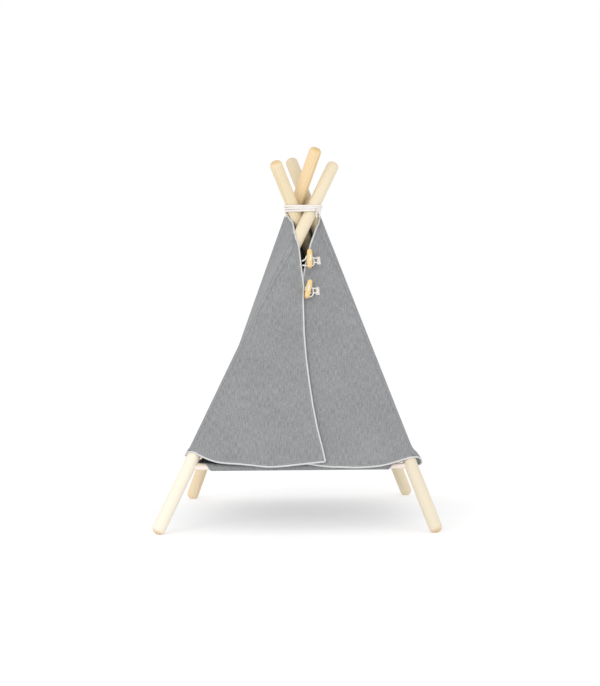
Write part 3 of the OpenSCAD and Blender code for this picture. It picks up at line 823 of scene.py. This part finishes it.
def seam_strip(name, cloth, u_end, other, other_end, top):
    """A felled seam: a narrow strip over the joint between two cloths, with two rows of stitches."""
    half, rise = 4.2 * MM, 0.8 * MM
    rows = np.linspace(0.006, top, 90)

    def place(u, v):
        s = (u - 0.5) * 2 * half
        use, end = (cloth, u_end) if s <= 0 else (other, other_end)
        width = max((use.place(1, v) - use.place(0, v)).length, 4 * half)
        inner = end - abs(s) / width if end > 0.5 else end + abs(s) / width
        edge = 0.75 * smooth(0.9, 1.0, abs(s) / half) * rise
        return use.above(inner, v, rise - edge)

    strip = Cloth(place, lambda u, v: (u * 2 * half, v * 0.5))
    obj = strip.sheet(name, np.linspace(0, 1, 9), rows, cover_canvas)
    lines = [[strip.above(u, v, OVER_CLOTH) for v in rows] for u in (0.22, 0.78)]
    seam = stitches(name + "_stitches", lines, thread)
    for piece, slot in ((obj, "cover_canvas"), (seam, "piping")):
        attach(piece, "frame")


left_front = left_front_cloth()
right_front = right_front_cloth()


# ---- Front cloths: each is one sheet from its seam to its free edge ----
def joint(name):
    return next(j for j in frame["joints"] if j["name"] == name)


def bend_at_hinge(obj, joint_name, inward):
    """Bakes the piece's transform into its mesh; it does not bend the cloth."""
    hinge_joint = joint(joint_name)
    place = Vector(hinge_joint["pos_m"])
    axis = Vector(hinge_joint["axis"]).normalized()
    over = Vector((inward, 0, 0))
    over = (over - axis * over.dot(axis)).normalized()
    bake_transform(obj)


def build_front(name, cloth, joint_name, inward, replaced, piping_replaced, free_u):
    wrap = np.linspace(0, WRAP_SHARE, 9)
    free = np.r_[np.linspace(WRAP_SHARE, 0.2, 12)[1:], np.linspace(0.2, 1, 62)[1:]]
    cols = np.r_[wrap, free]
    if free_u == 0:
        cols = 1 - cols[::-1]
    rows = np.r_[np.linspace(0, 0.12, 13), np.linspace(0.12, 1, 86)[1:]]
    obj = cloth.sheet(name + "_cloth", cols, rows, cover_canvas)
    inner = [c for c in cols if 0.012 < c < 0.988]
    hem_line = [cloth.above(u, wall_v(cloth, u, HEM_STITCH_IN), OVER_CLOTH) for u in inner]
    edge_line = []
    for v in rows[2:-8]:
        width = (cloth.place(1, v) - cloth.place(0, v)).length
        edge_line.append(cloth.above(abs(free_u - HEM_STITCH_IN / width), v, OVER_CLOTH))
    seam = stitches(name + "_stitches", [hem_line, edge_line], thread)
    top = [cloth.place(u, 1) for u in cols]
    edge = [cloth.place(free_u, v) for v in rows[::-1]]
    hem = [cloth.place(u, 0) for u in cols]
    around = top + edge + hem[::-1] if free_u == 1 else top[::-1] + edge + hem
    piping = tube(name + "_piping", [piping_line(around)], PIPING_R, piping_tape, sides=12, step=1.6 * MM)
    for piece, slot in ((obj, "cover_canvas"), (seam, "piping"), (piping, "piping")):
        bend_at_hinge(piece, joint_name, inward)
    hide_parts(*replaced)
    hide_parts(piping_replaced)


build_front("left_front", left_front, "left_flap_swing", 1, ["left_flap", "left_flap_wrap"],
            "left_flap_piping", 1)
build_front("right_front", right_front, "right_flap_swing", -1, ["right_flap", "right_flap_wrap"],
            "right_flap_piping", 0)


# ---- Piping on the frame ----
def frame_piping():
    hem = [left_side.place(u, 0) for u in np.linspace(1, 0, 90)]
    hem += [rear.place(u, 0) for u in np.linspace(1, 0, 90)]
    hem += [right_side.place(u, 0) for u in np.linspace(1, 0, 90)]
    neck = [left_side.place(u, 1) for u in np.linspace(1, 0, 40)]
    neck += [rear.place(u, 1) for u in np.linspace(1, 0, 40)]
    neck += [right_side.place(u, 1) for u in np.linspace(1, 0, 40)]
    for name, line, nodes in (("hem_piping", hem, ["left_hem_piping", "rear_hem_piping", "right_hem_piping"]),
                              ("neck_piping", neck, ["left_neck_piping", "right_neck_piping"])):
        piece = tube(name, [piping_line(line)], PIPING_R, piping_tape, sides=12, step=1.6 * MM)
        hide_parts(*nodes)
        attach(piece, "frame")


frame_piping()
seam_strip("front_left_seam", left_side, 1, left_front, 0, 0.985)
seam_strip("front_right_seam", right_front, 1, right_side, 0, 0.985)
seam_strip("rear_right_seam", right_side, 1, rear, 0, 0.985)
seam_strip("rear_left_seam", rear, 1, left_side, 0, 0.985)


# ---- Bed: one cloth, sewn round both bars and slung between them ----
def build_bed():
    low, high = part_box("front_crossbar")
    bar_z = (low.z + high.z) / 2
    sag, wrap_r, sweep = 14 * MM, 6.5 * MM, 320
    loop = math.radians(sweep) * wrap_r

    def bar_y(a, b, x):
        """Y of a bar's middle line at x, between poles a and b."""
        p, q = centre(a, bar_z), centre(b, bar_z)
        return lerp(p[1], q[1], (x - p[0]) / (q[0] - p[0]))

    span = bar_y(3, 2, 0) - bar_y(0, 1, 0)
    total = span + 2 * loop

    def place(u, t):
        """u runs from left to right; t from the front loop's sewn end to the rear one's."""
        d = t * total
        share = min(max((d - loop) / span, 0), 1)
        y_off, z_off, narrow = 0, wrap_r, 0
        if d < loop or d > total - loop:
            turn = (1 - d / loop) if d < loop else (d - total + loop) / loop
            a = math.radians(90 - turn * sweep)
            y_off, z_off = math.cos(a) * wrap_r * (-1 if d < loop else 1), math.sin(a) * wrap_r
            narrow = 10 * MM * (1 - math.sin(a)) / 2
        wide = smooth(0, 0.1, share) * smooth(1, 0.9, share)
        left = lerp(centre(0, bar_z)[0], centre(3, bar_z)[0], share) + lerp(33 * MM, 8 * MM, wide) + narrow
        right = lerp(centre(1, bar_z)[0], centre(2, bar_z)[0], share) - lerp(33 * MM, 8 * MM, wide) - narrow
        x = lerp(left, right, u)
        hollow = math.sin(math.pi * share)
        z = bar_z + z_off - sag * hollow * (0.55 + 0.45 * math.sin(math.pi * u) ** 0.7)
        z += hollow * 1.6 * MM * noise.noise(Vector((x * 16, share * 4, 3.1)))
        return Vector((x, lerp(bar_y(0, 1, x), bar_y(3, 2, x), share) + y_off, z))

    cloth = Cloth(place, lambda u, t: (u * 0.38, t * total))
    cols = edges_and_middle(60, 0.05, 5)
    rows = np.r_[np.linspace(0, loop, 34), np.linspace(loop, total - loop, 90)[1:-1],
                 np.linspace(total - loop, total, 34)] / total
    obj = cloth.sheet("bed_cloth", cols, rows, bed_canvas)
    edges = [[cloth.above(u, t, OVER_CLOTH) for t in rows[36:-36]] for u in (0.018, 0.982)]
    edges += [[cloth.above(u, t, OVER_CLOTH) for u in np.linspace(0.05, 0.95, 60)]
              for t in ((loop + 5 * MM) / total, 1 - (loop + 5 * MM) / total)]
    seam = stitches("bed_stitches", edges, thread)
    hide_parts("bed", "front_bed_sleeve", "rear_bed_sleeve")
    for piece, slot in ((obj, "bed_canvas"), (seam, "piping")):
        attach(piece, "frame")


build_bed()


# ---- Lashing: one cotton cord wound four times round the poles and tied at the front right ----
def build_lashing():
    cord_r, around = 2.25 * MM, POLE_R + 2.3 * MM
    heights = [609 * MM, 613.5 * MM, 618 * MM, 622.2 * MM]
    knot_at = 312

    def on_band(angle, z, r):
        n = np.array([math.cos(math.radians(angle)), math.sin(math.radians(angle))])
        x, y = max((touch(i, angle, z, r) for i in range(4)), key=lambda p: n @ p)
        return Vector((x, y, z))

    turns = []
    for k, z in enumerate(heights):
        for angle in np.arange(0, 360, 4):
            z_here = lerp(z, heights[k + 1], smooth(60, 300, angle)) if k < 3 else z
            z_here += 0.3 * MM * math.sin(math.radians(angle * 2))
            turns.append(on_band(knot_at + angle, z_here, around))
    wound = relaxed(resampled(thinned(turns, 1.5 * MM), 1 * MM), 4)
    rope = tube("lashing_cord", [wound], cord_r, lashing_cotton, sides=15, step=0.9 * MM, lobes=3,
                pitch=11 * MM, depth=0.1)
    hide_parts("lashing_turns")
    # The knot: an overhand knot whose two short ends hang down
    low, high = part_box("lashing_knot")
    middle = (low + high) / 2
    n = Vector((math.cos(math.radians(knot_at)), math.sin(math.radians(knot_at)), 0))
    side = Vector((-n.y, n.x, 0))
    size = 1.35 * MM
    path = [middle + side * 4.5 * MM + Vector((0, 0, -13 * MM)) - n * 1.2 * MM,
            middle + side * 4.6 * MM + Vector((0, 0, -8 * MM))]
    for t in np.radians(np.arange(-150, 151, 12)):
        x, y, z = (math.sin(t) + 2 * math.sin(2 * t), math.cos(t) - 2 * math.cos(2 * t), -math.sin(3 * t))
        path.append(middle + (side * x + Vector((0, 0, y)) + n * z) * size)
    path += [middle - side * 3.6 * MM + Vector((0, 0, -8 * MM)),
             middle - side * 3 * MM + Vector((0, 0, -14 * MM)) - n * 1.2 * MM]
    knot = tube("lashing_knot_cord", [path], 1.35 * MM, lashing_cotton, sides=12, step=0.7 * MM, lobes=3,
                pitch=8 * MM, depth=0.12)
    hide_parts("lashing_knot")
    for piece in (rope, knot):
        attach(piece, "frame")


build_lashing()


# ---- Toggles' cords, tabs and loops, on routes in millimetres from each toggle's middle ----
TOGGLES = {"upper": (24.2, 510.9, 5.5), "lower": (22.9, 450.4, 14.3)}
TABS = {"upper": (46.5, 512), "lower": (43, 451.5)}
TOGGLE_OFF, LOOP_OFF, CORD_LOW = 14, 5.5, 2.2
TOGGLE_R, HOLE_AT, CORD_R = 5.7, 5, 1.3 * MM


def build_toggle(key):
    x0, z0, lean_deg = TOGGLES[key]
    normal = Vector(joint(key + "_toggle_swivel")["axis"]).normalized()
    origin = Vector(joint(key + "_toggle_swivel")["pos_m"]) - normal * TOGGLE_OFF * MM
    right = (across((x0 + 5) * MM, z0 * MM) - across((x0 - 5) * MM, z0 * MM)).normalized()
    up = normal.cross(right)
    lean = Vector((math.sin(math.radians(lean_deg)), math.cos(math.radians(lean_deg))))

    def local(p):
        return origin + (right * p[0] + up * p[1] + normal * p[2]) * MM

    def cord(name, routes, step=0.7 * MM):
        return tube(name, [[local(p) for p in route] for route in routes], CORD_R, toggle_cotton, sides=12,
                    step=step, lobes=3, pitch=7 * MM, depth=0.1)

    h, back = HOLE_AT, TOGGLE_OFF - TOGGLE_R + 0.4
    front = TOGGLE_OFF + TOGGLE_R + CORD_R / MM + 0.2
    bight = cord(key + "_bight_cord", [[(lean.x * a, lean.y * a, b) for a, b in (
        (h, back), (h, front - 1.6), (h - 0.5, front - 0.4), (h - 1.7, front), (0, front + 0.1),
        (1.7 - h, front), (0.5 - h, front - 0.4), (-h, front - 1.6), (-h, back))]])
    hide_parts(key + "_toggle_bight")
    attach(bight, key + "_toggle")
    tab = Vector((TABS[key][0] - x0, TABS[key][1] - z0))
    end = TOGGLE_OFF - TOGGLE_R - 0.5
    routes = []
    for s in (-1, 1):
        hole = lean * (s * HOLE_AT)
        routes.append([(tab.x, tab.y + s * 4.4, CORD_LOW - 0.4), (tab.x - 3.9, tab.y + s * 4.6, CORD_LOW),
                       (tab.x - 8.5, tab.y + s * 4.8, CORD_LOW),
                       (hole.x + 5.4, lerp(hole.y, tab.y + s * 4.8, 0.3), CORD_LOW + 1),
                       (hole.x + 2.2, hole.y, (CORD_LOW + end) / 2 + 0.6), (hole.x + 0.5, hole.y, end - 1.2),
                       (hole.x, hole.y, end + 1)])
    strands = cord(key + "_strands", routes)
    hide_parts(key + "_toggle_cord")
    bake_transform(strands)
    x = np.interp(z0, LEFT_EDGE[:, 0] / MM, LEFT_EDGE[:, 1] / MM) + PIPING_R / MM - x0
    if key == "upper":
        ring = [(x - 1, -1.4), (x + 1.6, -1), (x + 5, 1), (-5, 3.6), (-4.4, 6.4), (-2.9, 8.7), (0.6, 9.9),
                (5, 9.3), (8.9, 6), (10.9, 0.5), (10.9, -4.5), (9.4, -9.4), (6, -12), (0, -12.4),
                (x + 5, -11.4), (x + 1.6, -10.6), (x - 1, -10.4)]
    else:
        ring = [(x - 1, 2), (x + 1.6, 2.4), (-3.9, 4.4), (-3.6, 7), (-1.8, 9.2), (2, 10.1), (6.4, 8.7),
                (9.4, 5), (10.4, -1.5), (9.4, -8.4), (6.2, -12), (-1, -12.6), (x + 4, -11.8),
                (x + 1.6, -10), (x - 1, -9.6)]
    drop = [1.4, 0.9] + [0] * (len(ring) - 4) + [0.9, 1.4]
    loop = cord(key + "_loop_cord", [[(p[0], p[1], LOOP_OFF - d) for p, d in zip(ring, drop)]])
    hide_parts(key + "_loop")
    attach(loop, "left_flap")
    patch = build_tab(key, local, tab)


def build_tab(key, local, tab):
    """A folded cotton tab that grips the cord's ends, sewn down with a crossed box of stitches."""
    half_w, half_h, low, high = 3.9, 8.3, 0.7, 3.4
    cols, rows = np.linspace(-1, 1, 17), np.linspace(-1, 1, 31)

    def crown(a, b):
        edge = (1 - abs(a) ** 6) * (1 - abs(b) ** 8)
        over_cord = sum(math.exp(-((b * half_h - s * 4.5) / 1.7) ** 2) for s in (-1, 1))
        return low + (high - low) * (0.55 + 0.45 * over_cord) * max(edge, 0) ** 0.4

    points = [[local((tab.x + a * half_w, tab.y + b * half_h, crown(a, b))) for a in cols] for b in rows]
    uv = [[(a * half_w * MM, b * half_h * MM) for a in cols] for b in rows]
    obj = grid_mesh(key + "_tab", points, uv, toggle_cotton)
    obj.modifiers["thickness"].thickness = 0.9 * MM
    obj.modifiers["thickness"].offset = -1
    lift = 0.35
    corners = [(a, b) for a, b in ((-0.68, -0.8), (0.68, -0.8), (0.68, 0.8), (-0.68, 0.8), (-0.68, -0.8))]
    lines = [corners[k:k + 2] for k in range(4)] + [[corners[0], corners[2]], [corners[1], corners[3]]]
    paths = []
    for (a0, b0), (a1, b1) in lines:
        run = [(lerp(a0, a1, t), lerp(b0, b1, t)) for t in np.linspace(0, 1, 12)]
        paths.append([local((tab.x + a * half_w, tab.y + b * half_h, crown(a, b) + lift)) for a, b in run])
    seam = stitches(key + "_tab_stitches", paths, tan_thread, length=1.2 * MM, pitch=1.7 * MM)
    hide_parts(key + "_toggle_tab")
    for piece in (obj, seam):
        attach(piece, "right_flap")
    return obj


for key in TOGGLES:
    build_toggle(key)
